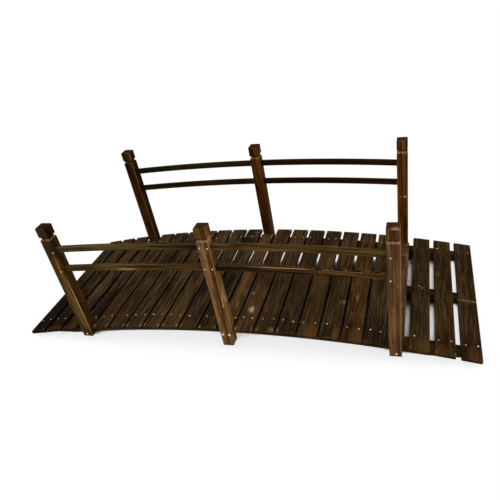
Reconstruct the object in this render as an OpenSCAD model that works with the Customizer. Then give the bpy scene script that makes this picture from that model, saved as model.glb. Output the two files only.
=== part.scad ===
// Moon bridge: a low arched garden footbridge in stained timber.
// Flat cross planks lie on three arched stringers. Six square posts stand on the
// outer stringers, and each side has two curved rails let into the posts.
// Sizes are in millimetres. +X runs along the bridge, +Y across it to the far side,
// +Z is up. The origin is at ground level under the middle of the deck.

/* [Deck] */

// Gap between planks from post to post
plank_gap = 14; // [6:0.5:30]
// Gap between planks beyond the end posts
end_gap = 24; // [6:0.5:40]
// Width of the narrow plank that lies between a pair of posts
post_plank = 75; // [57:1:95]
// Thickness of a plank
plank_thick = 19; // [12:1:30]
// Length of a full plank, the width of the bridge
deck_width = 944; // [700:2:1200]
// Radius of the deck's walking surface
deck_radius = 6756; // [5000:1:8000]

/* [Stringers] */

// Thickness of a stringer across the bridge
stringer_width = 45; // [30:1:70]
// Depth of a stringer under the planks
stringer_depth = 60; // [40:1:80]
// Height of the stringer's blunt nose above the ground at each end
nose_height = 22.5; // [12:0.5:36]
// How far the end planks stand out past the stringer's nose
nose_overhang = 6; // [0:1:20]

/* [Posts] */

// Side of a square post
post_side = 57; // [48:1:80]
// Distance from the middle post to an end post
post_spacing = 832; // [600:1:1000]
// Post top above the crown of the deck
post_rise = 585; // [400:1:900]
// Post foot below the crown of the deck
post_drop = 114; // [90:1:125]
// Height of the cap block above the groove
cap_height = 52; // [30:1:80]
// Height of the V groove under the cap block
groove_height = 20; // [8:1:30]
// Depth of the V groove
groove_depth = 8; // [3:0.5:12]
// Chamfer along the top edges of the cap block
cap_chamfer = 3; // [1:0.5:8]

/* [Rails] */

// Height of a rail's section
rail_height = 31; // [20:1:50]
// Thickness of a rail's section across the bridge
rail_thick = 19; // [12:1:30]
// Centre of the top rail below the post's top, at the middle post
top_rail_drop = 109; // [95:1:160]
// Spacing of the two rails, centre to centre
rail_spacing = 117; // [60:1:180]
// How far a rail drops from the middle post to an end post
rail_fall = 30; // [10:1:60]
// Depth of the blind mortise in an end post
mortise_depth = 40; // [20:1:48]
// Clearance around a rail in its mortise
mortise_clearance = 0.25; // [0.1:0.05:0.8]
// Gap between the two rail lengths where they meet in the middle post
rail_joint = 0.6; // [0.2:0.1:0.9]
// Gap between a short plank's end and the post
plank_clearance = 0.5; // [0.2:0.1:0.9]

/* [Hidden] */

$fn = 1440;
eps = 1;

// Planks from one post to the next, and planks beyond each end post
bay_planks = 8;
end_planks = 3;

// Angles are measured at the centre of the deck's arc, in degrees from the crown.
function arc_angle(length) = length / deck_radius * 180 / PI;
bay_arc = asin(post_spacing / deck_radius) * PI / 180 * deck_radius;
plank_width = (bay_arc - post_plank - bay_planks * plank_gap) / (bay_planks - 1);
last_plank = bay_planks + end_planks;

// Planks are counted from the crown. Those at the posts are narrow, the rest alike.
function at_post(i) = i == 0 || abs(i) == bay_planks;
function plank_span(i) = at_post(i) ? post_plank : plank_width;
function plank_arc(n) =
    n == 0 ? 0
    : n < bay_planks ? post_plank / 2 - plank_width / 2 + n * (plank_width + plank_gap)
    : n == bay_planks ? bay_arc
    : bay_arc + post_plank / 2 - plank_width / 2 + (n - bay_planks) * (plank_width + end_gap);
function plank_angle(i) = sign(i) * arc_angle(plank_arc(abs(i)));

// The stringer's top follows the planks' undersides.
stringer_radius = deck_radius - plank_thick;
tip_angle = plank_angle(last_plank) + arc_angle(plank_width / 2 - nose_overhang);
tip_x = stringer_radius * sin(tip_angle);
arc_z = nose_height - stringer_radius * cos(tip_angle);
crown_z = arc_z + deck_radius;

// Posts stand on the outer faces of the outer stringers, flush with the plank ends.
post_outer_y = deck_width / 2;
post_inner_y = post_outer_y - post_side;
post_mid_y = post_outer_y - post_side / 2;
stringer_y = post_inner_y - stringer_width / 2;
post_top_z = crown_z + post_rise;
post_foot_z = crown_z - post_drop;
groove_z = post_top_z - cap_height - groove_height / 2;
short_plank = 2 * (post_inner_y - plank_clearance);

// One curve serves all the rails.
rail_radius = (post_spacing * post_spacing + rail_fall * rail_fall) / (2 * rail_fall);
rail_end_x = post_spacing - post_side / 2 + mortise_depth;
top_rail_z = post_top_z - top_rail_drop;
low_rail_z = top_rail_z - rail_spacing;

deck_brown = [0.30, 0.19, 0.12];
frame_brown = [0.24, 0.15, 0.10];
post_brown = [0.45, 0.29, 0.15];
rail_brown = [0.33, 0.24, 0.14];

// A round bar lying across the bridge, the blank for every arc.
module cross_disc(radius, z, width) {
    translate([0, 0, z])
        rotate([90, 0, 0])
            cylinder(r = radius, h = width, center = true);
}

// A box from x0 to x1 and z0 to z1, centred on y = 0.
module cross_box(x0, x1, width, z0, z1) {
    translate([x0, -width / 2, z0])
        cube([x1 - x0, width, z1 - z0]);
}

// An arched bearer: concentric top and bottom arcs, blunt noses, flat feet.
module stringer(y) {
    color(frame_brown)
        translate([0, y, 0])
            intersection() {
                difference() {
                    cross_disc(stringer_radius, arc_z, stringer_width);
                    cross_disc(stringer_radius - stringer_depth, arc_z, stringer_width + 2 * eps);
                }
                cross_box(-tip_x, tip_x, stringer_width + 2 * eps, 0, crown_z);
            }
}

// A flat plank, tangent to the arc. Planks at the posts stop at their inner faces.
module deck_plank(i) {
    plank_length = at_post(i) ? short_plank : deck_width;
    color(deck_brown)
        translate([0, 0, arc_z])
            rotate([0, plank_angle(i), 0])
                translate([-plank_span(i) / 2, -plank_length / 2, stringer_radius])
                    cube([plank_span(i), plank_length, plank_thick]);
}

// A prism with a triangular section, lying along a post face.
module face_notch(depth, height) {
    rotate([90, 0, 0])
        linear_extrude(height = post_side + 2 * eps, center = true)
            polygon([[eps, -height * (depth + eps) / (2 * depth)],
                     [-depth, 0],
                     [eps, height * (depth + eps) / (2 * depth)]]);
}

// A prism that cuts a chamfer along a top edge of the cap block.
module top_chamfer() {
    rotate([90, 0, 0])
        linear_extrude(height = post_side + 2 * eps, center = true)
            polygon([[-cap_chamfer - eps, eps], [eps, -cap_chamfer - eps], [eps, eps]]);
}

// The curved bar of a rail, grown by the clearance when it cuts a mortise.
module rail_bar(x0, x1, z, grow) {
    intersection() {
        difference() {
            cross_disc(rail_radius + rail_height / 2 + grow, z - rail_radius, rail_thick + 2 * grow);
            cross_disc(rail_radius - rail_height / 2 - grow, z - rail_radius, rail_thick + 2 * grow + eps);
        }
        cross_box(x0, x1, rail_thick + 2 * grow + 2 * eps, z - rail_fall - 2 * rail_height, z + rail_height);
    }
}

// A square post with its V groove, chamfered cap and rail mortises.
// place is -1 for the left end, 0 for the middle and 1 for the right end.
module post(place, side) {
    post_x = place * post_spacing;
    color(post_brown)
        translate([0, side * post_mid_y, 0])
            difference() {
                translate([post_x - post_side / 2, -post_side / 2, post_foot_z])
                    cube([post_side, post_side, post_top_z - post_foot_z]);
                for (turn = [0 : 90 : 270]) {
                    translate([post_x, 0, groove_z])
                        rotate([0, 0, turn])
                            translate([post_side / 2, 0, 0])
                                face_notch(groove_depth, groove_height);
                    translate([post_x, 0, post_top_z])
                        rotate([0, 0, turn])
                            translate([post_side / 2, 0, 0])
                                top_chamfer();
                }
                for (z = [top_rail_z, low_rail_z])
                    rail_bar(
                        place == 1 ? post_spacing - post_side : -rail_end_x - mortise_clearance,
                        place == -1 ? -post_spacing + post_side : rail_end_x + mortise_clearance,
                        z,
                        mortise_clearance
                    );
            }
}

// One length of rail, from the middle of the middle post into an end post.
module rail(end, side, z) {
    color(rail_brown)
        translate([0, side * post_mid_y, 0])
            rail_bar(
                end < 0 ? -rail_end_x : rail_joint / 2,
                end < 0 ? -rail_joint / 2 : rail_end_x,
                z,
                0
            );
}

stringer(-stringer_y);  // stringer_near
stringer(0);  // stringer_centre
stringer(stringer_y);  // stringer_far

deck_plank(-11);  // deck_plank_01
deck_plank(-10);  // deck_plank_02
deck_plank(-9);  // deck_plank_03
deck_plank(-8);  // deck_plank_04
deck_plank(-7);  // deck_plank_05
deck_plank(-6);  // deck_plank_06
deck_plank(-5);  // deck_plank_07
deck_plank(-4);  // deck_plank_08
deck_plank(-3);  // deck_plank_09
deck_plank(-2);  // deck_plank_10
deck_plank(-1);  // deck_plank_11
deck_plank(0);  // deck_plank_12
deck_plank(1);  // deck_plank_13
deck_plank(2);  // deck_plank_14
deck_plank(3);  // deck_plank_15
deck_plank(4);  // deck_plank_16
deck_plank(5);  // deck_plank_17
deck_plank(6);  // deck_plank_18
deck_plank(7);  // deck_plank_19
deck_plank(8);  // deck_plank_20
deck_plank(9);  // deck_plank_21
deck_plank(10);  // deck_plank_22
deck_plank(11);  // deck_plank_23

post(-1, -1);  // post_near_left
post(0, -1);  // post_near_middle
post(1, -1);  // post_near_right
post(-1, 1);  // post_far_left
post(0, 1);  // post_far_middle
post(1, 1);  // post_far_right

rail(-1, -1, top_rail_z);  // rail_top_near_left
rail(1, -1, top_rail_z);  // rail_top_near_right
rail(-1, -1, low_rail_z);  // rail_low_near_left
rail(1, -1, low_rail_z);  // rail_low_near_right
rail(-1, 1, top_rail_z);  // rail_top_far_left
rail(1, 1, top_rail_z);  // rail_top_far_right
rail(-1, 1, low_rail_z);  // rail_low_far_left
rail(1, 1, low_rail_z);  // rail_low_far_right
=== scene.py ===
import math
import random

import bmesh
import bpy
from mathutils import Matrix, Vector


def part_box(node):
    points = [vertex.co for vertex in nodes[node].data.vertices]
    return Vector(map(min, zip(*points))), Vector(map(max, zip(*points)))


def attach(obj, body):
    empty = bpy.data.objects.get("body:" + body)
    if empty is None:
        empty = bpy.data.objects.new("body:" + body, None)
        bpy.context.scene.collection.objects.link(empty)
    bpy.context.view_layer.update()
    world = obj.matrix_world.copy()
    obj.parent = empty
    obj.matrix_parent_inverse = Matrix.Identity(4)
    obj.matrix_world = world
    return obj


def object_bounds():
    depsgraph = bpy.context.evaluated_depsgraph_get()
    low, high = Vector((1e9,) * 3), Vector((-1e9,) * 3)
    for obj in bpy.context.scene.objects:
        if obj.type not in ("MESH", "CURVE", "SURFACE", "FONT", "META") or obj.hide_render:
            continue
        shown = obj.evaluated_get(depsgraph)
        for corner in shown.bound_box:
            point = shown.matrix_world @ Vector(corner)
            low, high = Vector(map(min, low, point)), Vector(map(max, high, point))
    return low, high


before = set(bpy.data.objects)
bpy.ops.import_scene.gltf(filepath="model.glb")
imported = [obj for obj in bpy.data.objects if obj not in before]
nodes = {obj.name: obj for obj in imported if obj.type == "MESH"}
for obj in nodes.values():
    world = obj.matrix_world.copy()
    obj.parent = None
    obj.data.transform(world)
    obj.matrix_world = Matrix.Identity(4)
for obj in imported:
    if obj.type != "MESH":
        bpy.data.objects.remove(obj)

cad_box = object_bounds()
scene = bpy.context.scene

# Sizes in metres that no box in the frame gives, as in the part's source
DECK_R = 6.756
RAIL_R = 11.552
RAIL_H = 0.031
STRINGER_D = 0.060
CAP_H = 0.052
GROOVE_H = 0.020


def span(name, axis):
    """Size of a node's box along one axis."""
    low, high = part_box(name)
    return high[axis] - low[axis]


# Sizes and places read from the frame
DECK_W = cad_box[1][1] - cad_box[0][1]
PLANK_T = span("deck_plank_12", 2)
STRINGER_W = span("stringer_near", 1)
RAIL_T = span("rail_top_near_left", 1)
TOP_RAIL_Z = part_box("rail_top_near_left")[1].z - RAIL_H / 2
LOW_RAIL_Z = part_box("rail_low_near_left")[1].z - RAIL_H / 2
post_low, post_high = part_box("post_near_right")
POST = post_high.x - post_low.x
POST_X = (post_low.x + post_high.x) / 2
POST_FOOT, POST_TOP = post_low.z, post_high.z
GROOVE_Z = POST_TOP - CAP_H - GROOVE_H / 2

# Sizes for the looks alone: nail rows from the middle of the deck, and a length just past a pair of rails
NAIL_LINE = 0.3810
RAIL_SPAN = 1.70

# Axes of a timber, along the grain and two across it, for a level one and for a post
LEVEL = ((1.0, 0.0, 0.0), (0.0, 1.0, 0.0), (0.0, 0.0, 1.0))
UPRIGHT = ((0.0, 0.0, 1.0), (1.0, 0.0, 0.0), (0.0, 1.0, 0.0))

# Camera fitted to the photograph: place in metres, turns in radians, lens in millimetres
CAMERA_PLACE = (0.94410, -2.23597, 1.82621)
CAMERA_YAW, CAMERA_PITCH, CAMERA_ROLL = -0.3370, 0.5796, -0.1740
CAMERA_LENS = 37.0686
CAMERA_SHIFT = (-0.048, 0.01)


def make_camera():
    """The photograph's camera."""
    yaw, pitch, roll = CAMERA_YAW, CAMERA_PITCH, CAMERA_ROLL
    forward = Vector((math.sin(yaw) * math.cos(pitch), math.cos(yaw) * math.cos(pitch), -math.sin(pitch)))
    right = Vector((math.cos(yaw), -math.sin(yaw), 0.0))
    up = right.cross(forward)
    c, s = math.cos(roll), math.sin(roll)
    x_axis, y_axis = right * c + up * s, up * c - right * s
    data = bpy.data.cameras.new("camera")
    data.sensor_width = 36.0
    data.lens = CAMERA_LENS
    data.shift_x, data.shift_y = CAMERA_SHIFT
    data.clip_start, data.clip_end = 0.05, 200.0
    cam = bpy.data.objects.new("camera", data)
    scene.collection.objects.link(cam)
    turn = Matrix((x_axis, y_axis, -forward)).transposed().to_4x4()
    cam.matrix_world = Matrix.Translation(CAMERA_PLACE) @ turn
    scene.camera = cam


make_camera()


class Graph:
    """Adds shader nodes to one material, or to the world, and joins them."""

    def __init__(self, owner):
        self.owner = owner
        owner.use_nodes = True
        self.tree = owner.node_tree
        self.tree.nodes.clear()

    def add(self, kind, **settings):
        node = self.tree.nodes.new(kind)
        for key, value in settings.items():
            setattr(node, key, value)
        return node

    def put(self, socket, value):
        if isinstance(value, bpy.types.NodeSocket):
            self.tree.links.new(value, socket)
        else:
            socket.default_value = value

    def math(self, op, a, b=None, c=None):
        node = self.add("ShaderNodeMath", operation=op)
        for socket, value in zip(node.inputs, (a, b, c)):
            if value is not None:
                self.put(socket, value)
        return node.outputs[0]

    def sub(self, a, b):
        node = self.add("ShaderNodeVectorMath", operation="SUBTRACT")
        self.put(node.inputs[0], a)
        self.put(node.inputs[1], b)
        return node.outputs["Vector"]

    def dot(self, a, b):
        node = self.add("ShaderNodeVectorMath", operation="DOT_PRODUCT")
        self.put(node.inputs[0], a)
        self.put(node.inputs[1], b)
        return node.outputs["Value"]

    def length(self, x, y, z):
        node = self.add("ShaderNodeVectorMath", operation="LENGTH")
        self.put(node.inputs[0], self.join(x, y, z))
        return node.outputs["Value"]

    def join(self, x, y, z):
        node = self.add("ShaderNodeCombineXYZ")
        for socket, value in zip(node.inputs, (x, y, z)):
            self.put(socket, value)
        return node.outputs[0]

    def stretched(self, vector, scale, shift):
        node = self.add("ShaderNodeVectorMath", operation="MULTIPLY_ADD")
        self.put(node.inputs[0], vector)
        node.inputs[1].default_value = scale
        node.inputs[2].default_value = shift
        return node.outputs["Vector"]

    def noise(self, vector, scale, shift, detail, rough):
        node = self.add("ShaderNodeTexNoise", noise_dimensions="3D")
        self.put(node.inputs["Vector"], self.stretched(vector, scale, shift))
        node.inputs["Scale"].default_value = 1.0
        node.inputs["Detail"].default_value = detail
        node.inputs["Roughness"].default_value = rough
        return node.outputs[0]

    def smooth(self, value, low, high, start=0.0, end=1.0):
        node = self.add("ShaderNodeMapRange", interpolation_type="SMOOTHSTEP", clamp=True)
        self.put(node.inputs["Value"], value)
        node.inputs["From Min"].default_value = low
        node.inputs["From Max"].default_value = high
        node.inputs["To Min"].default_value = start
        node.inputs["To Max"].default_value = end
        return node.outputs[0]

    def ramp(self, fac, stops):
        node = self.add("ShaderNodeValToRGB")
        ramp = node.color_ramp
        while len(ramp.elements) < len(stops):
            ramp.elements.new(0.5)
        for element, (place, colour) in zip(ramp.elements, stops):
            element.position = place
            element.color = (*colour, 1.0)
        self.put(node.inputs[0], fac)
        return node.outputs[0]

    def mix(self, fac, a, b, blend="MIX"):
        node = self.add("ShaderNodeMix", data_type="RGBA", blend_type=blend, clamp_factor=True)
        self.put(node.inputs[0], fac)
        for socket, value in ((node.inputs[6], a), (node.inputs[7], b)):
            self.put(socket, (*value, 1.0) if isinstance(value, tuple) and len(value) == 3 else value)
        return node.outputs[2]

    def seen(self):
        """1 for rays from the camera and for those that a surface mirrored or let through, else 0."""
        path = self.add("ShaderNodeLightPath")
        mirrored = self.math("MAXIMUM", path.outputs["Is Glossy Ray"], path.outputs["Is Transmission Ray"])
        return self.math("MAXIMUM", path.outputs["Is Camera Ray"], mirrored)

    def output(self, shader, kind="ShaderNodeOutputMaterial"):
        """Joins the last shader to the output and returns what the nodes belong to."""
        self.put(self.add(kind).inputs[0], shader)
        return self.owner

    def surface(self, colour, rough, height, depth, strength, specular, metallic=0.0):
        bump = self.add("ShaderNodeBump")
        bump.inputs["Strength"].default_value = strength
        bump.inputs["Distance"].default_value = depth
        self.put(bump.inputs["Height"], height)
        shader = self.add("ShaderNodeBsdfPrincipled")
        self.put(shader.inputs["Base Color"], colour)
        self.put(shader.inputs["Roughness"], rough)
        shader.inputs["Specular IOR Level"].default_value = specular
        self.put(shader.inputs["Metallic"], metallic)
        self.put(shader.inputs["Normal"], bump.outputs[0])
        return self.output(shader.outputs[0])


class Timber(Graph):
    """Stained softwood of one timber.

    place is its centre, its axes (along the grain and two across it) and the sag of its arc;
    size is its length, width and height. Marks are placed along those axes, from the centre."""

    def __init__(self, name, seed, place, size, look):
        super().__init__(bpy.data.materials.new(name))
        self.seed, self.size, self.look = seed, size, look
        self.rng = random.Random(seed)
        centre, self.axes, bow = place
        from_centre = self.sub(self.add("ShaderNodeTexCoord").outputs["Object"], centre)
        self.s, self.u, self.w = (self.dot(from_centre, axis) for axis in self.axes)
        if bow:
            self.w = self.math("MULTIPLY_ADD", self.math("MULTIPLY", self.s, self.s), bow, self.w)
        self.within = self.join(self.s, self.u, self.w)
        self.shift = [self.rng.uniform(-40, 40) for _ in range(3)]
        self.normal = self.add("ShaderNodeNewGeometry").outputs["Normal"]

    def grain(self, along, across, detail=2.0, rough=0.5):
        """Noise with one scale along the timber and one across it, different at each call."""
        shift = [v + self.rng.uniform(-9, 9) for v in self.shift]
        return self.noise(self.within, (along, across, across), shift, detail, rough)

    def away_from(self, at, squeeze=1.0):
        """Distance to a place in the timber; squeeze shortens it along the grain."""
        along = self.math("SUBTRACT", self.s, at[0])
        if squeeze != 1.0:
            along = self.math("MULTIPLY", along, squeeze)
        return self.length(along, self.math("SUBTRACT", self.u, at[1]), self.math("SUBTRACT", self.w, at[2]))

    def lay(self, share, tint, blend="MIX"):
        """Lays a tint over the colour so far."""
        self.colour = self.mix(share, self.colour, tint, blend)

    def grow_rings(self, knots):
        """Growth rings round a pith beside the timber, warped along its length and round its knots.

        A knot has a place, a radius and a tint."""
        rng, look = self.rng, self.look
        pu, pw = look.get("pith", (rng.uniform(-0.03, 0.03), rng.choice((-1, 1)) * rng.uniform(0.05, 0.12)))
        tu, tw = rng.uniform(-0.03, 0.03), rng.uniform(-0.04, 0.04)
        du = self.math("SUBTRACT", self.u, self.math("MULTIPLY_ADD", self.s, tu, pu))
        dw = self.math("SUBTRACT", self.w, self.math("MULTIPLY_ADD", self.s, tw, pw))
        dist = self.length(du, dw, 0.0)
        dist = self.math("MULTIPLY_ADD", self.grain(1.3, 6.0), 0.035, dist)
        wave = self.grain(look.get("wave_run", 7.0), 32.0)
        dist = self.math("MULTIPLY_ADD", wave, look.get("wave", 0.004), dist)
        self.cores = []
        for *at, radius, tint in knots:
            away = self.away_from(at, 0.62)
            push = self.smooth(away, 0.0, radius * 3.4, 1.0, 0.0)
            dist = self.math("MULTIPLY_ADD", self.math("MULTIPLY", push, push), radius * 1.5, dist)
            core = self.math("MULTIPLY_ADD", self.grain(60.0, 90.0), radius * 0.35, away)
            self.cores.append((core, radius, tint))
        turns = self.math("DIVIDE", dist, look.get("ring", 0.006))
        self.part = self.math("FRACT", turns)
        rise = self.smooth(self.part, 0.15, 0.86)
        fall = self.smooth(self.part, 0.90, 1.0, 1.0, 0.0)
        each = self.add("ShaderNodeTexWhiteNoise", noise_dimensions="1D")
        self.put(each.inputs["W"], self.math("ADD", self.math("FLOOR", turns), self.seed * 3.7))
        strength = self.math("MULTIPLY_ADD", each.outputs["Value"], 0.7, 0.45)
        self.late = self.math("MULTIPLY", self.math("MULTIPLY", rise, fall), strength)

    def stain(self):
        """Streaks, fibres and blotches of the stain over the rings, then redder patches."""
        look = self.look
        run = look.get("run", 1.0)
        wide = self.grain(1.1 * run, 48.0, 3.0, 0.55)
        self.thin = self.grain(3.2 * run, 190.0, 3.0, 0.6)
        self.fibre = self.grain(22.0, 780.0, 2.0, 0.6)
        blotch = self.grain(2.6, 7.0, 3.0, 0.55)
        tone = 0.5
        for field, weight in ((wide, "wide"), (self.thin, "thin"), (self.fibre, "fibre"), (blotch, "blotch")):
            k = look[weight]
            tone = self.math("ADD", self.math("MULTIPLY_ADD", field, 2.0 * k, -k), tone)
        tone = self.math("MULTIPLY_ADD", self.late, -look["late"], tone)
        tone = self.math("ADD", tone, look["late"] * 0.3)
        self.colour = self.ramp(tone, look["stops"])
        if "lines" in look:
            self.draw_lines(*look["lines"])
        patch = self.smooth(self.grain(1.7, 11.0), 0.5, 0.72, 0.0, look.get("red", 0.35))
        self.lay(patch, look["warm"], "SOFT_LIGHT")

    def draw_lines(self, tint, amount, start, full):
        """Pale grain lines towards one end, weak on the top and the underside."""
        line = self.math("ABSOLUTE", self.math("SUBTRACT", self.part, 0.2))
        line = self.smooth(line, 0.08, 0.20, 1.0, 0.0)
        line = self.math("MULTIPLY", line, self.smooth(self.s, start, full, 0.0, amount))
        upward = self.math("ABSOLUTE", self.dot(self.normal, self.axes[2]))
        line = self.math("MULTIPLY", line, self.smooth(upward, 0.4, 0.8, 1.0, 0.25))
        self.lay(self.math("MULTIPLY", line, self.smooth(self.grain(6.0, 24.0), 0.36, 0.52)), tint)

    def crack(self):
        """Fine drying checks along the grain."""
        split = self.math("ABSOLUTE", self.math("SUBTRACT", self.grain(1.4, 62.0, 1.0), 0.5))
        split = self.smooth(split, 0.004, 0.016, 1.0, 0.0)
        share = self.smooth(self.grain(3.0, 16.0), 0.5, 0.62, 0.0, self.look.get("check", 0.6))
        self.split = self.math("MULTIPLY", split, share)
        self.lay(self.split, self.look["deep"])

    def show_knots(self):
        """A dark rim and a ringed heart for each knot."""
        for away, radius, tint in self.cores:
            self.lay(self.smooth(away, radius * 0.75, radius * 1.25, 0.85, 0.0), self.look["deep"])
            rings = self.math("SINE", self.math("MULTIPLY", away, 2600.0))
            rings = self.math("MULTIPLY_ADD", rings, 0.12, 0.8)
            heart = self.smooth(away, radius * 0.55, radius * 0.9, 1.0, 0.0)
            self.lay(self.math("MULTIPLY", heart, rings), tint)

    def wear_edges(self):
        """Worn arrises: the second smallest distance to a face is the distance to the nearest edge."""
        across = zip((self.s, self.u, self.w), self.size)
        gaps = [self.math("SUBTRACT", full / 2.0, self.math("ABSOLUTE", v)) for v, full in across]
        low = self.math("MINIMUM", gaps[0], gaps[1])
        high = self.math("MAXIMUM", gaps[0], gaps[1])
        edge = self.math("MAXIMUM", low, self.math("MINIMUM", high, gaps[2]))
        self.ragged = self.grain(9.0, 60.0, 3.0, 0.6)
        reach = self.look.get("edge", 1.0)
        near = self.math("MULTIPLY_ADD", self.ragged, 0.006 * reach, edge)
        near = self.smooth(near, 0.0025 * reach, 0.0060 * reach, 1.0, 0.0)
        share = self.smooth(self.grain(4.0, 8.0, 2.0), 0.38, 0.62, 0.15, self.look["wear"])
        self.lay(self.math("MULTIPLY", near, share), self.look["pale"])

    def darken_ends(self):
        """End grain takes more stain."""
        end = self.smooth(self.math("ABSOLUTE", self.dot(self.normal, self.axes[0])), 0.75, 0.95)
        self.lay(self.math("MULTIPLY", end, self.look.get("end", 0.55)), self.look["end_tone"])

    def tone_cap_and_paint_face_shading(self, cap, faces):
        """A cap block of another tone, and faces made lighter or darker by painted light and shade; on the
        plank sides in the gaps it is painted shade with some stain.

        A cap has its start along the post, a tint and an amount.
        A face has a direction, a tint and an amount."""
        if cap:
            start, tint, amount = cap
            self.lay(self.smooth(self.s, start - 0.002, start + 0.002, 0.0, amount), tint, "MULTIPLY")
        # Painted light and shade: a face lighter or darker by the way it points
        for direction, tint, amount in faces:
            side = self.smooth(self.dot(self.normal, direction), 0.6, 0.8, 0.0, amount)
            self.lay(side, tint, "MULTIPLY")

    def add_bands(self, bands):
        """Bands across the timber: a place along it, a half width, a soft edge, a tint and an amount."""
        for at, half, soft, tint, amount in bands:
            off = self.math("ABSOLUTE", self.math("SUBTRACT", self.s, at))
            off = self.math("MULTIPLY_ADD", self.math("SUBTRACT", self.ragged, 0.5), soft * 1.2, off)
            patchy = self.smooth(self.grain(40.0, 120.0, 2.0), 0.44, 0.58, amount * 0.25, amount)
            self.lay(self.math("MULTIPLY", self.smooth(off, half, half + soft, 1.0, 0.0), patchy), tint)

    def add_spots(self, spots):
        """Spots of bare or dark wood: a place, a half length, a half width, a tint and an amount."""
        for *at, long, wide, tint, amount in spots:
            away = self.away_from(at, wide / long)
            away = self.math("MULTIPLY_ADD", self.math("SUBTRACT", self.thin, 0.5), wide * 1.6, away)
            self.lay(self.smooth(away, wide * 0.35, wide, amount, 0.0), tint)

    def darken_nails(self, nails):
        """Stain and shadow round the fasteners."""
        for at in nails:
            self.lay(self.smooth(self.away_from(at), 0.0040, 0.0075, 0.55, 0.0), self.look["deep"])

    def finished(self):
        """The material, with raised grain."""
        height = self.math("MULTIPLY_ADD", self.late, 0.55, self.math("MULTIPLY", self.fibre, 0.5))
        height = self.math("MULTIPLY_ADD", self.thin, 0.8, height)
        height = self.math("MULTIPLY_ADD", self.split, -1.2, height)
        rough = self.math("MULTIPLY_ADD", self.thin, 0.22, 0.58)
        return self.surface(self.colour, rough, height, 0.0007, 0.55, self.look.get("specular", 0.016))


def wood(name, seed, place, size, look, knots=(), spots=(), nails=(), bands=(), cap=None, faces=()):
    """The material of one timber, laid on step by step."""
    timber = Timber(name, seed, place, size, look)
    timber.grow_rings(knots)
    timber.stain()
    timber.crack()
    timber.show_knots()
    timber.wear_edges()
    timber.darken_ends()
    timber.tone_cap_and_paint_face_shading(cap, faces)
    timber.add_bands(bands)
    timber.add_spots(spots)
    timber.darken_nails(nails)
    return timber.finished()


def scaled(colour, k, warm=1.0):
    """A colour times k; warm over 1 moves it towards red, under 1 towards blue."""
    return (colour[0] * k * warm, colour[1] * k, colour[2] * k / warm)


def make_look(mid, contrast=1.0, fade=1.0, **more):
    """A wood look round one middle colour; fade takes the red out of its pale streaks."""
    look = dict(
        stops=[
            (0.0, scaled(mid, 1.0 - 0.78 * contrast, 1.02)),
            (0.28, scaled(mid, 1.0 - 0.42 * contrast, 1.02)),
            (0.5, mid),
            (0.74, scaled(mid, 1.0 + 0.55 * contrast, 1.0 - 0.05 * fade)),
            (1.0, scaled(mid, 1.0 + 1.5 * contrast, 1.0 - 0.13 * fade)),
        ],
        warm=(0.62, 0.40, 0.30),
        deep=scaled(mid, 0.14),
        pale=(0.17, 0.115, 0.062),
        end_tone=scaled(mid, 0.38),
        wide=0.85,
        thin=0.95,
        fibre=0.40,
        blotch=0.70,
        late=0.42,
        wear=0.5,
    )
    look.update(more)
    return look


def dress(name, mat):
    """Gives a CAD node its one material."""
    materials = nodes[name].data.materials
    materials.clear()
    materials.append(mat)


# Deck planks: stain tones, then the tone of each plank from the left end
BROWN = (0.0375, 0.0190, 0.0058)
OLIVE = (0.0345, 0.0192, 0.0066)
DUSK = (0.0285, 0.0152, 0.0050)
RUSSET = (0.0430, 0.0192, 0.0050)
HONEY = (0.0470, 0.0236, 0.0074)
TAN = (0.0640, 0.0310, 0.0115)
STRAW = (0.0670, 0.0330, 0.0108)
UMBER = (0.0235, 0.0128, 0.0046)
plank_tone = [
    DUSK, BROWN, HONEY, DUSK, HONEY, DUSK, OLIVE, BROWN, BROWN, DUSK, DUSK, STRAW,
    HONEY, BROWN, UMBER, BROWN, DUSK, RUSSET, OLIVE, TAN, DUSK, BROWN, DUSK,
]

# Tones of marks and worn places
CREAM = (0.30, 0.20, 0.105)
AMBER = (0.070, 0.032, 0.007)
NEAR_BLACK = (0.0040, 0.0023, 0.0011)
RED = (0.050, 0.017, 0.0040)
BUFF = (0.150, 0.110, 0.062)
CHIP = (0.200, 0.132, 0.072)
# Plank sides in the gaps darkened: painted shade, with some stain
EDGE_SHADE = (0.28, 0.24, 0.20)
TOP = PLANK_T / 2

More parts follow.
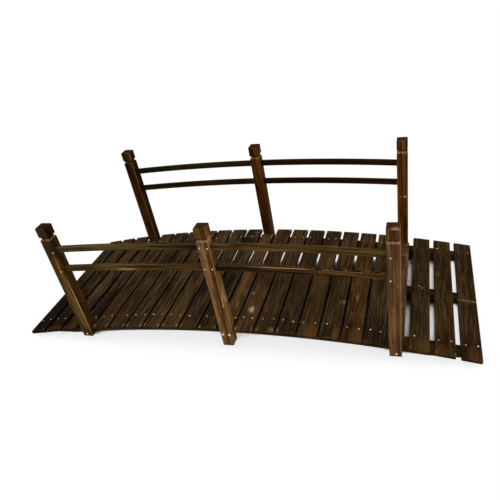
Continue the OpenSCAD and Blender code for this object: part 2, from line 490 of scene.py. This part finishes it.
# Knots and marks seen on single planks: along the plank, across it, up, then sizes
plank_knots = {
    5: [(-0.05, -0.018, TOP, 0.010, (0.040, 0.022, 0.010))],
    8: [(0.21, 0.015, TOP, 0.009, (0.028, 0.016, 0.007))],
    10: [(0.02, 0.020, TOP, 0.008, (0.036, 0.020, 0.009))],
    15: [(-0.06, -0.020, TOP, 0.008, (0.050, 0.028, 0.012))],
    21: [(-0.001, 0.002, TOP, 0.009, (0.060, 0.038, 0.018))],
}
plank_spots = {
    # Planks 1 to 4 go near-black towards their near ends
    1: [(-0.38, 0.0, TOP, 0.62, 0.14, NEAR_BLACK, 0.80)],
    2: [(-0.40, 0.0, TOP, 0.46, 0.14, NEAR_BLACK, 0.78), (-0.455, 0.0, TOP, 0.03, 0.04, AMBER, 0.4)],
    3: [(-0.42, 0.0, TOP, 0.34, 0.13, NEAR_BLACK, 0.70), (-0.44, 0.01, TOP, 0.05, 0.03, AMBER, 0.45)],
    4: [(-0.34, 0.0, TOP, 0.30, 0.10, NEAR_BLACK, 0.45)],
    # Red patches at the near ends of planks 5 and 6, right of the near-left post: painted shadow of the post
    5: [(-0.38, -0.03, TOP, 0.16, 0.06, RED, 0.55), (-0.45, 0.0, TOP, 0.06, 0.06, NEAR_BLACK, 0.4)],
    6: [(-0.40, 0.0, TOP, 0.10, 0.05, RED, 0.35)],
    8: [(-0.44, 0.02, TOP, 0.05, 0.03, AMBER, 0.5)],
    9: [(-0.36, 0.02, TOP, 0.12, 0.025, AMBER, 0.5)],
    10: [(-0.45, 0.0, TOP, 0.05, 0.04, AMBER, 0.4)],
    11: [(0.385, 0.0, TOP, 0.022, 0.014, BUFF, 0.6), (0.430, 0.024, TOP, 0.022, 0.018, BUFF, 0.55)],
    12: [(-0.120, -0.006, TOP, 0.20, 0.022, (0.140, 0.066, 0.014), 0.6)],
    13: [
        (-0.330, -0.006, TOP, 0.060, 0.026, AMBER, 0.6),
        (-0.316, 0.0, TOP, 0.034, 0.017, (0.46, 0.295, 0.145), 0.95),
        (-0.185, -0.024, TOP, 0.018, 0.014, (0.17, 0.110, 0.060), 0.8),
        (-0.445, -0.030, TOP, 0.05, 0.022, AMBER, 0.6),
    ],
    14: [
        (-0.452, 0.030, TOP, 0.020, 0.016, (0.130, 0.086, 0.026), 0.75),
        (-0.24, 0.0, TOP, 0.14, 0.03, (0.040, 0.024, 0.007), 0.5),
    ],
    15: [(-0.42, 0.0, TOP, 0.09, 0.06, NEAR_BLACK, 0.35)],
    16: [
        (-0.440, 0.016, TOP, 0.060, 0.046, (0.096, 0.041, 0.009), 0.65),
        (-0.20, 0.02, TOP, 0.16, 0.03, (0.060, 0.030, 0.008), 0.4),
    ],
    17: [
        (-0.200, 0.040, TOP, 0.030, 0.012, (0.170, 0.088, 0.032), 0.75),
        (-0.205, 0.022, TOP, 0.016, 0.010, (0.110, 0.056, 0.020), 0.7),
        (-0.440, 0.026, TOP, 0.060, 0.020, (0.105, 0.044, 0.010), 0.7),
        (-0.420, -0.026, TOP, 0.10, 0.02, NEAR_BLACK, 0.4),
    ],
    18: [
        (-0.156, -0.002, TOP, 0.044, 0.011, (0.170, 0.092, 0.042), 0.75),
        (-0.140, -0.010, TOP, 0.020, 0.008, (0.110, 0.060, 0.026), 0.6),
        (-0.430, 0.016, TOP, 0.070, 0.036, (0.094, 0.040, 0.010), 0.65),
        (-0.10, 0.02, TOP, 0.20, 0.03, RED, 0.4),
    ],
    19: [(-0.40, 0.0, TOP, 0.20, 0.09, NEAR_BLACK, 0.45)],
    20: [(-0.05, -0.02, TOP, 0.60, 0.025, RED, 0.4)],
    21: [
        (0.002, 0.0, TOP, 0.026, 0.022, NEAR_BLACK, 0.55),
        (0.007, -0.007, TOP, 0.009, 0.007, (0.28, 0.205, 0.125), 0.85),
        (-0.006, 0.007, TOP, 0.010, 0.006, (0.24, 0.170, 0.100), 0.8),
        (-0.28, 0.01, TOP, 0.12, 0.024, NEAR_BLACK, 0.3),
        (-0.44, 0.01, TOP, 0.06, 0.05, AMBER, 0.55),
    ],
    22: [
        (0.130, -0.025, TOP, 0.036, 0.018, (0.085, 0.036, 0.016), 0.55),
        (0.136, -0.028, TOP, 0.010, 0.007, (0.17, 0.090, 0.050), 0.5),
        (-0.445, -0.02, TOP, 0.05, 0.04, AMBER, 0.5),
    ],
    23: [(-0.44, 0.01, TOP, 0.07, 0.04, AMBER, 0.45), (-0.066, 0.006, TOP, 0.018, 0.040, AMBER, 0.5)],
}
plank_bands = {
    20: [(0.279, 0.0016, 0.0030, (0.26, 0.160, 0.055), 0.8)],
    23: [(-0.058, 0.0044, 0.0060, (0.18, 0.118, 0.062), 0.85)],
}
plank_frame = {}
for n in range(1, len(plank_tone) + 1):
    low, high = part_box("deck_plank_%02d" % n)
    mid = (low + high) / 2
    angle = math.asin(mid.x / (DECK_R - TOP))
    across = Vector((math.cos(angle), 0.0, -math.sin(angle)))
    normal = Vector((math.sin(angle), 0.0, math.cos(angle)))
    width = (high.x - low.x - PLANK_T * abs(math.sin(angle))) / math.cos(angle)
    plank_frame[n] = (mid, across, normal, width, high.y - low.y)


def nail_places(n):
    """Two nails at each bearer: offsets along and across the plank."""
    rng = random.Random(400 + n)
    places = []
    for line in (-NAIL_LINE, 0.0, NAIL_LINE):
        for side in (-1, 1):
            places.append((line + rng.uniform(-0.006, 0.006), side * 0.026 + rng.uniform(-0.005, 0.005)))
    return places


for n, (mid, across, normal, width, length) in plank_frame.items():
    # Planks on the left have greyer streaks and more contrast, those at the right end less wear
    calm = 0.90 if n < 13 else 0.72
    look = make_look(
        plank_tone[n - 1],
        1.15 * calm,
        2.0 if n < 12 else 1.0 if n < 17 else 0.35,
        run=2.4,
        wide=(0.52 if n < 12 else 0.72) * calm,
        thin=2.1 * calm,
        fibre=0.55,
        blotch=0.65 if n < 9 else 1.05,
        late=0.26,
        check=0.7,
        wear=0.72 if n < 19 else 0.35,
        edge=1.8,
        specular=0.007 if n < 5 else 0.016,
        pale=(0.098, 0.065, 0.036),
    )

    # Chipped corners
    rng = random.Random(500 + n)
    corners = []
    for end in (-1, 1):
        for side in (-1, 1):
            if rng.random() < 0.75:
                along = end * (length / 2 - rng.uniform(0.006, 0.016))
                long = rng.uniform(0.012, 0.022)
                amount = rng.uniform(0.4, 0.9) * (1.0 if 4 < n < 19 else 0.3)
                corners.append((along, side * (width / 2 - 0.005), TOP, long, 0.008, CHIP, amount))

    mat = wood(
        "wood_deck_%02d" % n,
        n + 10,
        (mid, ((0.0, 1.0, 0.0), across, normal), 0.0),
        (length, width, PLANK_T),
        look,
        knots=plank_knots.get(n, ()),
        spots=[*plank_spots.get(n, ()), *corners],
        bands=plank_bands.get(n, ()),
        # Plank sides darkened with EDGE_SHADE: painted shade in the gaps, with some stain
        faces=[(across, EDGE_SHADE, 0.9), (-across, EDGE_SHADE, 0.9)],
        nails=[(a, b, TOP) for a, b in nail_places(n)],
    )
    dress("deck_plank_%02d" % n, mat)

# Bearers under the deck
for k, name in enumerate(("stringer_near", "stringer_centre", "stringer_far")):
    low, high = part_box(name)
    yc = (low.y + high.y) / 2
    zc = high.z - STRINGER_D / 2
    place = (Vector((0.0, yc, zc)), LEVEL, 0.5 / (DECK_R - PLANK_T))
    look = make_look((0.036, 0.0182, 0.0052), 0.8, wear=0.3, pale=(0.08, 0.05, 0.024))
    dress(name, wood("wood_" + name, 60 + k, place, (high.x - low.x, STRINGER_W, STRINGER_D), look))

# Posts: tone, contrast, wear in the groove and tint of the cap
post_look = {
    "post_near_left": ((0.0500, 0.0228, 0.0050), 1.25, 0.60, (0.52, 0.46, 0.38)),
    "post_near_middle": ((0.1020, 0.0495, 0.0160), 1.05, 0.65, (0.60, 0.50, 0.34)),
    "post_near_right": ((0.0860, 0.0410, 0.0160), 0.80, 0.75, (0.76, 0.66, 0.50)),
    "post_far_left": ((0.0300, 0.0105, 0.0010), 0.90, 0.15, (1.20, 1.55, 2.40)),
    "post_far_middle": ((0.0570, 0.0160, 0.0012), 0.90, 0.35, (0.62, 0.78, 1.20)),
    "post_far_right": ((0.0680, 0.0208, 0.0022), 0.95, 0.75, (0.86, 1.18, 2.00)),
}
post_more = {
    "post_near_middle": dict(wave=0.011, wave_run=10.0),
    "post_near_right": dict(pith=(0.22, 0.03), ring=0.0042, late=0.34, thin=1.45, wide=0.9, end=0.45),
}
# One side of a post darker or lighter than its front: painted shade on the near left post, painted light on
# the near middle one
post_side_light_and_shade = {
    "post_near_left": [((1.0, 0.0, 0.0), (0.60, 0.44, 0.32), 0.8)],
    "post_near_middle": [((1.0, 0.0, 0.0), (1.75, 1.70, 1.60), 1.0)],
}
# Marks on single posts: height above the ground, offset along the bridge and across it, then sizes
FRONT, SIDE = -POST / 2, POST / 2
post_spots = {
    "post_near_left": [
        (0.235, SIDE, FRONT, 0.240, 0.0042, (0.42, 0.275, 0.135), 0.95),
        (0.240, 0.000, FRONT, 0.210, 0.026, (0.125, 0.068, 0.022), 0.50),
        (0.615, 0.002, FRONT, 0.090, 0.034, (0.020, 0.012, 0.004), 0.80),
        (0.460, -0.025, FRONT, 0.110, 0.009, (0.020, 0.013, 0.004), 0.65),
        (0.505, 0.010, FRONT, 0.075, 0.0040, (0.250, 0.150, 0.062), 0.85),
        (0.705, 0.010, FRONT, 0.016, 0.012, (0.052, 0.017, 0.008), 0.60),
        (0.700, -0.020, FRONT, 0.022, 0.010, (0.030, 0.025, 0.009), 0.60),
    ],
    "post_near_middle": [
        (0.545, 0.014, FRONT, 0.075, 0.016, (0.080, 0.026, 0.009), 0.70),
        (0.560, SIDE, 0.0, 0.070, 0.040, (0.055, 0.018, 0.006), 0.75),
        (0.420, 0.016, FRONT, 0.160, 0.0045, (0.030, 0.011, 0.003), 0.85),
        (0.330, -0.004, FRONT, 0.120, 0.0035, (0.035, 0.014, 0.004), 0.75),
        (0.180, 0.006, FRONT, 0.130, 0.0045, (0.028, 0.010, 0.003), 0.85),
        (0.260, -0.018, FRONT, 0.240, 0.0050, (0.210, 0.118, 0.044), 0.60),
        (0.150, 0.020, FRONT, 0.120, 0.0050, (0.190, 0.100, 0.034), 0.65),
        (0.375, SIDE, 0.014, 0.075, 0.0080, (0.34, 0.205, 0.105), 0.80),
        (0.345, SIDE, -0.004, 0.050, 0.0075, (0.46, 0.300, 0.170), 0.92),
        (0.318, SIDE, 0.012, 0.030, 0.0085, (0.44, 0.280, 0.155), 0.90),
        (0.355, SIDE, 0.006, 0.045, 0.0030, (0.070, 0.026, 0.010), 0.85),
        (0.350, SIDE, -0.020, 0.040, 0.0050, (0.40, 0.255, 0.140), 0.85),
        (0.332, 0.0265, FRONT, 0.026, 0.0034, (0.44, 0.290, 0.165), 0.88),
        (0.300, 0.0245, FRONT, 0.016, 0.0040, (0.42, 0.275, 0.155), 0.80),
        (0.705, -0.010, FRONT, 0.030, 0.0200, (0.088, 0.047, 0.012), 0.65),
    ],
    "post_near_right": [
        (POST_TOP - 0.002, 0.010, FRONT, 0.0045, 0.024, (0.28, 0.165, 0.070), 0.9),
        (0.560, SIDE, FRONT, 0.180, 0.0045, (0.24, 0.150, 0.075), 0.85),
        (0.452, 0.012, FRONT, 0.008, 0.006, (0.20, 0.125, 0.065), 0.70),
    ],
    "post_far_right": [(0.402, 0.014, FRONT, 0.010, 0.010, (0.33, 0.20, 0.10), 0.85)],
}
post_knots = {
    "post_near_middle": [(0.590, 0.012, FRONT, 0.006, (0.020, 0.008, 0.003))],
    "post_near_right": [(0.452, 0.004, FRONT, 0.007, (0.130, 0.070, 0.032))],
}
post_bands = {
    "post_far_right": [(0.400, 0.003, 0.004, (0.16, 0.085, 0.036), 0.55)],
}
post_mid_z = (POST_TOP + POST_FOOT) / 2
screws = []


def from_middle(marks):
    """Marks on a post, with heights from its middle instead of the ground."""
    return [(z - post_mid_z, *rest) for z, *rest in marks]


def rail_z(top, x):
    """Height of a rail's centre line at a place along the bridge."""
    return (TOP_RAIL_Z if top else LOW_RAIL_Z) - RAIL_R + math.sqrt(RAIL_R * RAIL_R - x * x)


def screw_places(x0, rng):
    """Screws in a post's outer face: offset along the bridge, height and radius."""
    middle = x0 == 0.0
    offsets = (-0.0185, 0.0185) if middle else (-math.copysign(0.015, x0),)
    loose = 0.0015 if middle else 0.003
    places = []
    for top, rise in ((True, 0.004), (False, 0.005)):
        z = rail_z(top, x0) + (rise if middle else -0.002)
        for dx in offsets:
            places.append((dx + rng.uniform(-loose, loose), z + rng.uniform(-0.003, 0.003), 0.0040))
    if middle:
        return places + [(-0.0177, 0.1090, 0.0064), (0.0172, 0.1085, 0.0068)]
    return places + [(math.copysign(0.004, x0), 0.0520, 0.0052)]


for k, (name, (tone, contrast, groove_wear, cap_tint)) in enumerate(post_look.items()):
    out = -1 if "near" in name else 1
    x0 = {"left": -POST_X, "middle": 0.0, "right": POST_X}[name.split("_")[2]]
    mine = screw_places(x0, random.Random(300 + k))
    screws += [(x0 + dx, out * DECK_W / 2, z, out, r) for dx, z, r in mine]
    look = make_look(
        tone,
        contrast,
        wear=0.75,
        pale=(0.24, 0.150, 0.068),
        wide=1.15,
        thin=1.25,
        late=0.50,
        ring=0.0055,
        red=0.5,
        end=0.80,
    )
    look.update(post_more.get(name, {}))
    groove = (GROOVE_Z - 0.006, 0.0022, 0.0030, CREAM, groove_wear)
    mat = wood(
        "wood_" + name,
        80 + k,
        (Vector((x0, out * (DECK_W / 2 - POST / 2), post_mid_z)), UPRIGHT, 0.0),
        (POST_TOP - POST_FOOT, POST, POST),
        look,
        knots=from_middle(post_knots.get(name, ())),
        spots=from_middle(post_spots.get(name, ())),
        bands=from_middle([groove, *post_bands.get(name, ())]),
        faces=post_side_light_and_shade.get(name, ()),
        cap=(GROOVE_Z - post_mid_z, cap_tint, 0.9),
        nails=[(z - post_mid_z, dx, out * POST / 2) for dx, z, r in mine],
    )
    dress(name, mat)

# Rails: tone and contrast
rail_look = {
    "rail_top_near_left": ((0.0370, 0.0218, 0.0062), 1.05),
    "rail_top_near_right": ((0.0800, 0.0420, 0.0120), 0.95),
    "rail_low_near_left": ((0.0440, 0.0242, 0.0070), 1.15),
    "rail_low_near_right": ((0.0124, 0.0060, 0.0019), 1.10),
    "rail_top_far_left": ((0.0135, 0.0076, 0.0020), 0.8),
    "rail_top_far_right": ((0.0120, 0.0040, 0.0009), 0.8),
    "rail_low_far_left": ((0.0140, 0.0068, 0.0017), 0.8),
    "rail_low_far_right": ((0.0150, 0.0052, 0.0011), 0.8),
}
# Streaks and worn places on the near rails: along, across, up, then sizes
RAIL_FRONT = -RAIL_T / 2
rail_spots = {
    "rail_top_near_left": [(-0.22, RAIL_FRONT, -0.009, 0.20, 0.004, (0.085, 0.052, 0.018), 0.6)],
    "rail_top_near_right": [
        (0.30, RAIL_FRONT, -0.004, 0.22, 0.006, (0.110, 0.058, 0.018), 0.55),
        (0.16, RAIL_FRONT, 0.010, 0.05, 0.006, (0.020, 0.010, 0.003), 0.6),
    ],
    "rail_low_near_left": [
        (-0.450, RAIL_FRONT, -0.010, 0.075, 0.009, (0.25, 0.150, 0.062), 0.90),
        (-0.16, RAIL_FRONT, 0.001, 0.15, 0.004, (0.125, 0.072, 0.026), 0.75),
        (-0.68, RAIL_FRONT, 0.0, 0.19, 0.024, (0.022, 0.013, 0.005), 0.72),
    ],
    "rail_low_near_right": [
        (0.55, RAIL_FRONT, 0.006, 0.17, 0.0040, (0.170, 0.082, 0.026), 0.55),
        (0.64, RAIL_FRONT, -0.002, 0.10, 0.0035, (0.150, 0.070, 0.020), 0.85),
        (0.42, RAIL_FRONT, -0.001, 0.12, 0.0030, (0.130, 0.060, 0.017), 0.55),
        (0.30, RAIL_FRONT, 0.004, 0.10, 0.0030, (0.110, 0.052, 0.015), 0.80),
        (0.72, RAIL_FRONT, -0.007, 0.06, 0.0040, (0.130, 0.060, 0.017), 0.8),
        (0.36, RAIL_FRONT, 0.0145, 0.16, 0.004, (0.300, 0.180, 0.092), 0.9),
        (0.64, RAIL_FRONT, -0.011, 0.12, 0.004, (0.012, 0.005, 0.001), 0.8),
    ],
}
rail_knots = {
    "rail_low_near_right": [
        (0.66, RAIL_FRONT, 0.0, 0.005, (0.075, 0.036, 0.012)),
        (0.47, RAIL_FRONT, -0.006, 0.004, (0.060, 0.028, 0.009)),
    ],
}
# Tops of the near right rails lighter than their fronts: painted light
rail_top_light = {
    "rail_low_near_right": [((0.0, 0.0, 1.0), (2.3, 2.2, 2.1), 1.0)],
    "rail_top_near_right": [((0.0, 0.0, 1.0), (1.15, 1.1, 1.05), 1.0)],
}
rail_more = {
    "rail_low_near_right": dict(
        late=0.75,
        ring=0.0075,
        thin=1.3,
        wide=0.6,
        wave=0.030,
        wave_run=26.0,
        lines=((0.170, 0.078, 0.025), 0.85, 0.34, 0.50),
    ),
}
for k, (name, (tone, contrast)) in enumerate(rail_look.items()):
    low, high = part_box(name)
    near = "near" in name
    look = make_look(
        tone,
        contrast,
        wear=0.55 if near else 0.15,
        pale=(0.16, 0.105, 0.055) if near else (0.06, 0.04, 0.022),
        ring=0.0045,
        wide=1.1,
        thin=1.45 if near else 1.0,
        blotch=1.0,
    )
    look.update(rail_more.get(name, {}))
    mat = wood(
        "wood_" + name,
        120 + k,
        (Vector((0.0, (low.y + high.y) / 2, rail_z("top" in name, 0.0))), LEVEL, 0.5 / RAIL_R),
        (RAIL_SPAN, RAIL_T, RAIL_H),
        look,
        knots=rail_knots.get(name, ()),
        spots=rail_spots.get(name, ()),
        faces=rail_top_light.get(name, ()),
    )
    dress(name, mat)

# Eased edges on every timber, finer on the posts
for name, obj in nodes.items():
    weld = obj.modifiers.new("weld", "WELD")
    weld.merge_threshold = 0.00002
    flat = obj.modifiers.new("flat_faces", "DECIMATE")
    flat.decimate_type = "DISSOLVE"
    flat.angle_limit = math.radians(0.05)
    bevel = obj.modifiers.new("eased_edges", "BEVEL")
    bevel.width = 0.0014 if "post" in name else 0.0020
    bevel.segments = 3
    bevel.limit_method = "ANGLE"
    bevel.angle_limit = math.radians(25)


# Fasteners: radius, rise, sink and turns of a nail head; rise, sink, turns and recess of a screw head
NAIL_HEAD = (0.0043, 0.0010, 0.0025, 14)
SCREW_HEAD = (0.0010, 0.0030, 32, 0.0007)


def lathe_head(bm, matrix, radius, rise, sink, turns, cross=0.0):
    """A closed fastener head: rings of points from the crown to the rim and down into the wood.

    cross is the depth of the recess in a screw's crown."""
    around = [2 * math.pi * k / turns for k in range(turns)]
    rings = []
    for f in (0.0, 0.16, 0.30, 0.44, 0.58, 0.72, 0.86, 0.95, 1.0):
        z = rise * (1.0 - f ** 2.4) + rise * 0.18 * (f < 1.0)
        ring = []
        for angle in around if f > 0 else around[:1]:
            x, y = radius * f * math.cos(angle), radius * f * math.sin(angle)
            dip = cross if f < 0.66 and min(abs(x), abs(y)) < radius * 0.13 else 0.0
            ring.append(bm.verts.new(matrix @ Vector((x, y, z - dip))))
        rings.append(ring)
    rim = [Vector((radius * math.cos(angle), radius * math.sin(angle), -sink)) for angle in around]
    rings.append([bm.verts.new(matrix @ point) for point in rim])
    foot = bm.verts.new(matrix @ Vector((0.0, 0.0, -sink)))
    for t in range(turns):
        n = (t + 1) % turns
        bm.faces.new((rings[0][0], rings[1][t], rings[1][n]))
        for a, b in zip(rings[1:], rings[2:]):
            bm.faces.new((a[t], b[t], b[n], a[n]))
        bm.faces.new((rings[-1][t], foot, rings[-1][n]))


def facing(across, normal):
    """Turns a head so that its crown looks along the normal."""
    return Matrix((across, normal.cross(across), normal)).transposed().to_4x4()


def metal(name, bright, rust, rust_share, seed, shine=0.35):
    """Zinc or steel of the fasteners, with rust on a share of the heads."""
    g = Graph(bpy.data.materials.new(name))
    here = g.add("ShaderNodeTexCoord").outputs["Object"]
    rng = random.Random(seed)
    shift = [rng.uniform(-30, 30) for _ in range(3)]
    spots = g.noise(here, (420.0,) * 3, shift, 3.0, 0.6)
    piece = g.noise(here, (37.0,) * 3, shift, 1.0, 0.5)
    grain = g.noise(here, (2600.0,) * 3, shift, 2.0, 0.5)
    shade = g.ramp(grain, [(0.2, scaled(bright, 0.72)), (0.8, bright)])
    share = g.math("MULTIPLY_ADD", piece, 0.9, spots)
    share = g.smooth(share, 1.10 - rust_share, 1.45 - rust_share, 0.0, 0.85)
    colour = g.mix(share, shade, rust)
    rough = g.math("MULTIPLY_ADD", share, 0.35, 0.38)
    height = g.math("MULTIPLY_ADD", spots, 0.6, grain)
    return g.surface(colour, rough, height, 0.0002, 0.4, shine + 0.05, shine)


def new_piece(name, bm, mat):
    """A visual piece on the root body."""
    bmesh.ops.recalc_face_normals(bm, faces=bm.faces)
    mesh = bpy.data.meshes.new(name)
    bm.to_mesh(mesh)
    bm.free()
    mesh.materials.append(mat)
    obj = bpy.data.objects.new(name, mesh)
    scene.collection.objects.link(obj)
    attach(obj, "root")


zinc = metal("zinc_nails", (0.78, 0.68, 0.55), (0.20, 0.13, 0.07), 0.04, 5)
worn = metal("worn_nails", (0.42, 0.34, 0.25), (0.15, 0.085, 0.042), 0.08, 8)
dull = metal("dull_nails", (0.120, 0.088, 0.058), (0.044, 0.024, 0.012), 0.20, 9)
dark = metal("dark_nails", (0.038, 0.026, 0.015), (0.020, 0.011, 0.006), 0.25, 10, 0.0)
steel = metal("zinc_screws", (0.82, 0.66, 0.45), (0.30, 0.19, 0.09), 0.02, 6, 0.15)

rng = random.Random(77)
heads = [bmesh.new() for _ in range(4)]
for n, (mid, across, normal, width, length) in plank_frame.items():
    for k, (along, off) in enumerate(nail_places(n)):
        at = mid + across * off + Vector((0.0, along, 0.0)) + normal * (TOP - rng.uniform(0.0, 0.0004))
        tilt = Matrix.Rotation(rng.uniform(-0.06, 0.06), 4, "X")
        tilt = tilt @ Matrix.Rotation(rng.uniform(-0.06, 0.06), 4, "Y")
        draw = rng.random()
        # The near row is mostly bright or worn, the middle row dark, the far row mostly worn or dull
        if k < 2:
            finish = (draw > 0.48) + (draw > 0.86)
        else:
            finish = 3 if k < 4 else (draw > 0.05) + (draw > 0.45)
        lathe_head(heads[finish], Matrix.Translation(at) @ facing(across, normal) @ tilt, *NAIL_HEAD)
for tag, bm, mat in zip(("bright", "worn", "dull", "dark"), heads, (zinc, worn, dull, dark)):
    new_piece("deck_nails_" + tag, bm, mat)

bm = bmesh.new()
for x, y, z, out, r in screws:
    turn = facing(Vector((1.0, 0.0, 0.0)), Vector((0.0, out, 0.0)))
    spin = Matrix.Rotation(rng.uniform(0, math.pi), 4, "Z")
    lathe_head(bm, Matrix.Translation((x, y, z)) @ turn @ spin, r, *SCREW_HEAD)
new_piece("post_screws", bm, steel)


# Floor, world and lamps
FLOOR_GLOW = 0.94  # as it is seen
FLOOR_LIT = (0.07, 0.07, 0.07, 1.0)  # the part that takes light and shadow
FLOOR_BOUNCE = (0.46, 0.46, 0.46, 1.0)  # what it sends back up to the bridge
FLOOR_DROP = 0.0006  # below the feet
WHITE = (1.0, 1.0, 1.0, 1.0)
SKY_LIGHT, SKY_SEEN = 0.60, 1.0


def floor_material(name, shaded):
    """One pale colour; where shaded, it darkens only as far as the bridge hides the sky."""
    g = Graph(bpy.data.materials.new(name))
    seen = g.seen()
    glow = g.add("ShaderNodeEmission")
    glow.inputs["Color"].default_value = WHITE
    glow.inputs["Strength"].default_value = FLOOR_GLOW
    if shaded:
        open_sky = g.add("ShaderNodeAmbientOcclusion", samples=120)
        open_sky.inputs["Distance"].default_value = 0.6
        deep = g.smooth(open_sky.outputs["AO"], 0.115, 0.175)
        soft = g.smooth(open_sky.outputs["AO"], 0.20, 0.75)
        shade = g.math("MULTIPLY_ADD", soft, 0.15, g.math("MULTIPLY", deep, 0.85))
        g.put(glow.inputs["Strength"], g.math("MULTIPLY", shade, FLOOR_GLOW))
    lit = g.add("ShaderNodeBsdfDiffuse")
    lit.inputs["Color"].default_value = FLOOR_LIT
    shown = g.add("ShaderNodeAddShader")
    g.put(shown.inputs[0], glow.outputs[0])
    g.put(shown.inputs[1], lit.outputs[0])
    bounce = g.add("ShaderNodeBsdfDiffuse")
    bounce.inputs["Color"].default_value = FLOOR_BOUNCE
    pick = g.add("ShaderNodeMixShader")
    g.put(pick.inputs[0], seen)
    g.put(pick.inputs[1], bounce.outputs[0])
    g.put(pick.inputs[2], shown.outputs[0])
    return g.output(pick.outputs[0])


def make_floor():
    """One flat floor. Its middle part reaches past the bridge to where the shade has ended."""
    reach, margin = 60.0, 0.42
    xs = (-reach, cad_box[0][0] - margin, cad_box[1][0] + margin, reach)
    ys = (-reach, cad_box[0][1] - margin, cad_box[1][1] + margin, reach)
    bm = bmesh.new()
    grid = [[bm.verts.new((x, y, 0.0)) for y in ys] for x in xs]
    for i in range(3):
        for j in range(3):
            face = bm.faces.new((grid[i][j], grid[i + 1][j], grid[i + 1][j + 1], grid[i][j + 1]))
            face.material_index = 1 if i == j == 1 else 0
    mesh = bpy.data.meshes.new("floor")
    bm.to_mesh(mesh)
    bm.free()
    mesh.materials.append(floor_material("floor_open", False))
    mesh.materials.append(floor_material("floor_near", True))
    floor = bpy.data.objects.new("floor", mesh)
    floor.location.z = -FLOOR_DROP
    scene.collection.objects.link(floor)


def make_world():
    """White where it is seen, dimmer as a light."""
    g = Graph(bpy.data.worlds.new("world"))
    sky = g.add("ShaderNodeBackground")
    sky.inputs["Color"].default_value = WHITE
    g.put(sky.inputs["Strength"], g.smooth(g.seen(), 0.0, 1.0, SKY_LIGHT, SKY_SEEN))
    scene.world = g.output(sky.outputs[0], "ShaderNodeOutputWorld")


def lamp(name, direction, strength, soft):
    """A sun from one direction; soft is its width in degrees."""
    data = bpy.data.lights.new(name, "SUN")
    data.energy = strength
    data.angle = math.radians(soft)
    obj = bpy.data.objects.new(name, data)
    obj.rotation_euler = (-Vector(direction)).to_track_quat("-Z", "Y").to_euler()
    scene.collection.objects.link(obj)


make_floor()
make_world()
lamp("key", (-1.2, -3.6, 3.2), 1.5, 50)
lamp("fill", (3.6, -1.2, 2.2), 0.8, 60)

scene.view_settings.view_transform = "Standard"
